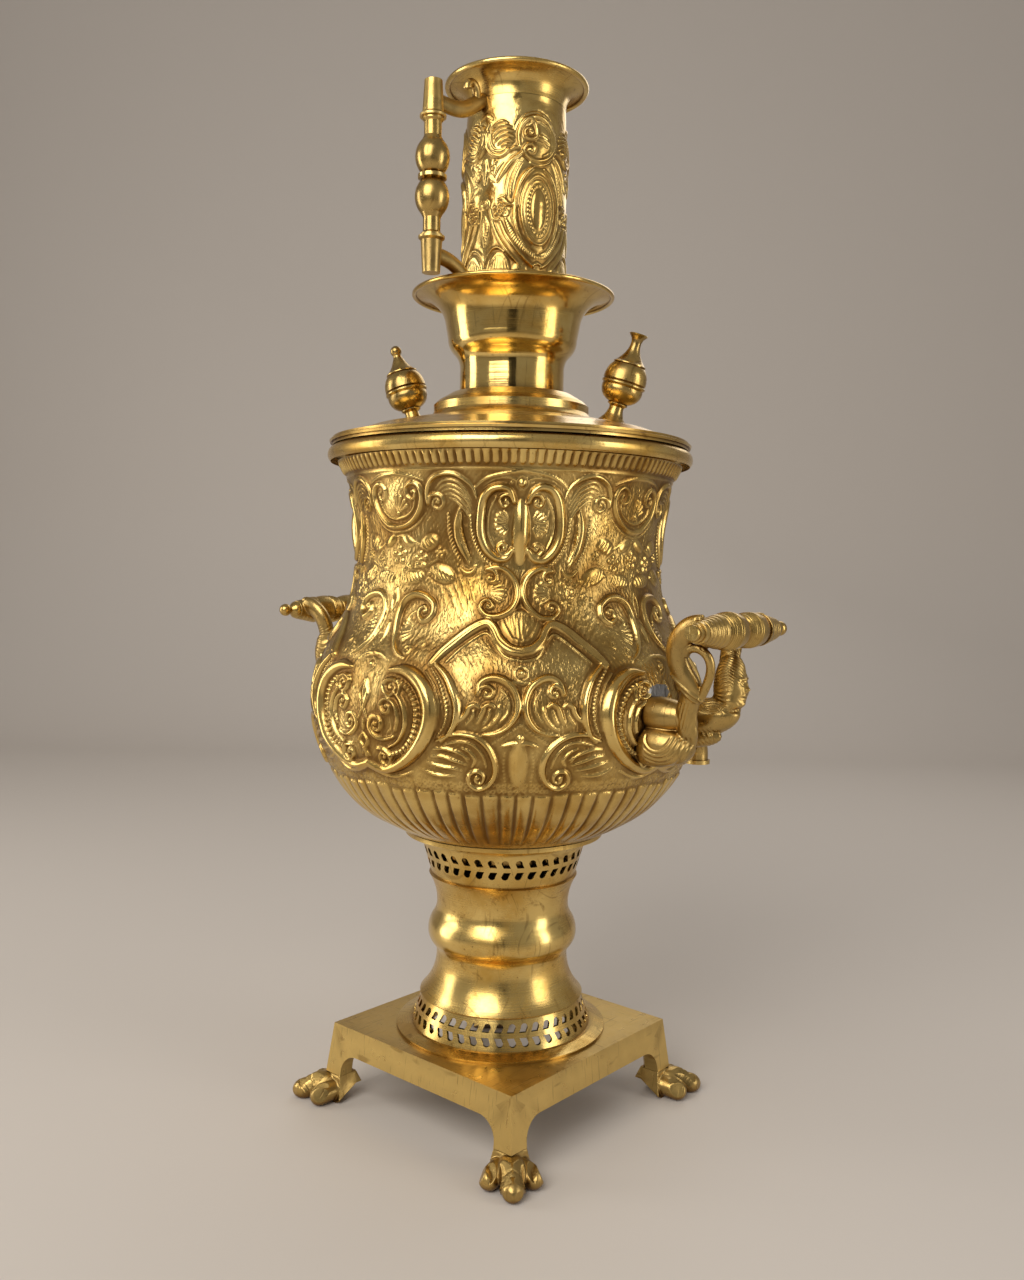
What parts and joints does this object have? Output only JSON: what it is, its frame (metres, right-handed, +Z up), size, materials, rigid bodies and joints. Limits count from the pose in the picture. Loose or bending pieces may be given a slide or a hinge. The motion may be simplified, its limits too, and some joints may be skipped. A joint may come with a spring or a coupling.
{
  "type": "samovar",
  "caption": "Brass charcoal samovar: embossed vessel on a pierced pedestal and paw-footed stand, with lift-off lid, teapot cup and chimney, two turning side grips and a tap.",
  "frame": {"origin": "where the samovar's vertical axis meets the surface that it stands on", "axes": "+Z up; the tap points along -Y, the chimney handle along +Y and the side handles along +X and -X"},
  "size_m": [0.3404, 0.3525, 0.6176],
  "materials": {
    "spun_brass": "polished spun sheet brass with fine lathe marks",
    "embossed_brass": "embossed sheet brass, bright on the relief and brown in the hollows",
    "cast_brass": "cast brass, satin and slightly tarnished",
    "turned_brass": "turned brass, satin",
    "fire_iron": "dark cast iron, sooty"
  },
  "bodies": {
    "samovar": {"base_stand": "cast_brass", "paw_foot_front_left": "cast_brass", "paw_foot_front_right": "cast_brass", "paw_foot_back_left": "cast_brass", "paw_foot_back_right": "cast_brass", "pierced_foot_band": "spun_brass", "pedestal_column": "spun_brass", "pierced_top_band": "spun_brass", "vessel_body": "embossed_brass", "fire_tube": "spun_brass", "grate": "fire_iron", "right_scroll_arm": "cast_brass", "right_figure_arm": "cast_brass", "left_scroll_arm": "cast_brass", "left_figure_arm": "cast_brass", "tap_rosette": "cast_brass", "tap_body": "cast_brass"},
    "lid": {"lid": "spun_brass", "lid_knob_ball": "turned_brass", "lid_knob_trumpet": "turned_brass", "lid_knob_nut_ball": "turned_brass", "lid_knob_nut_trumpet": "turned_brass"},
    "cup": {"teapot_cup": "spun_brass"},
    "chimney": {"chimney_pipe": "embossed_brass", "chimney_mouth": "spun_brass", "chimney_upper_bracket": "cast_brass", "chimney_lower_bracket": "cast_brass", "chimney_grip": "turned_brass"},
    "right_grip": {"right_spindle": "turned_brass"},
    "left_grip": {"left_spindle": "turned_brass"},
    "tap_key": {"tap_key": "cast_brass", "tap_key_washer": "cast_brass", "tap_key_nut": "cast_brass"}
  },
  "joints": [
    {"name": "lid_lift", "type": "slide", "parent": "samovar", "child": "lid", "axis": [0, 0, 1], "range_m": [0, 0.06]},
    {"name": "cup_lift", "type": "slide", "parent": "lid", "child": "cup", "axis": [0, 0, 1], "range_m": [0, 0.045]},
    {"name": "chimney_lift", "type": "slide", "parent": "cup", "child": "chimney", "axis": [0, 0, 1], "range_m": [0, 0.05]},
    {"name": "tap_turn", "type": "hinge", "parent": "samovar", "child": "tap_key", "pos_m": [0, -0.17, 0.204], "axis": [0, 0, 1], "continuous": true},
    {"name": "right_grip_turn", "type": "hinge", "parent": "samovar", "child": "right_grip", "pos_m": [0.16, 0, 0.3], "axis": [0, 1, 0], "continuous": true},
    {"name": "left_grip_turn", "type": "hinge", "parent": "samovar", "child": "left_grip", "pos_m": [-0.16, 0, 0.3], "axis": [0, 1, 0], "continuous": true}
  ]
}
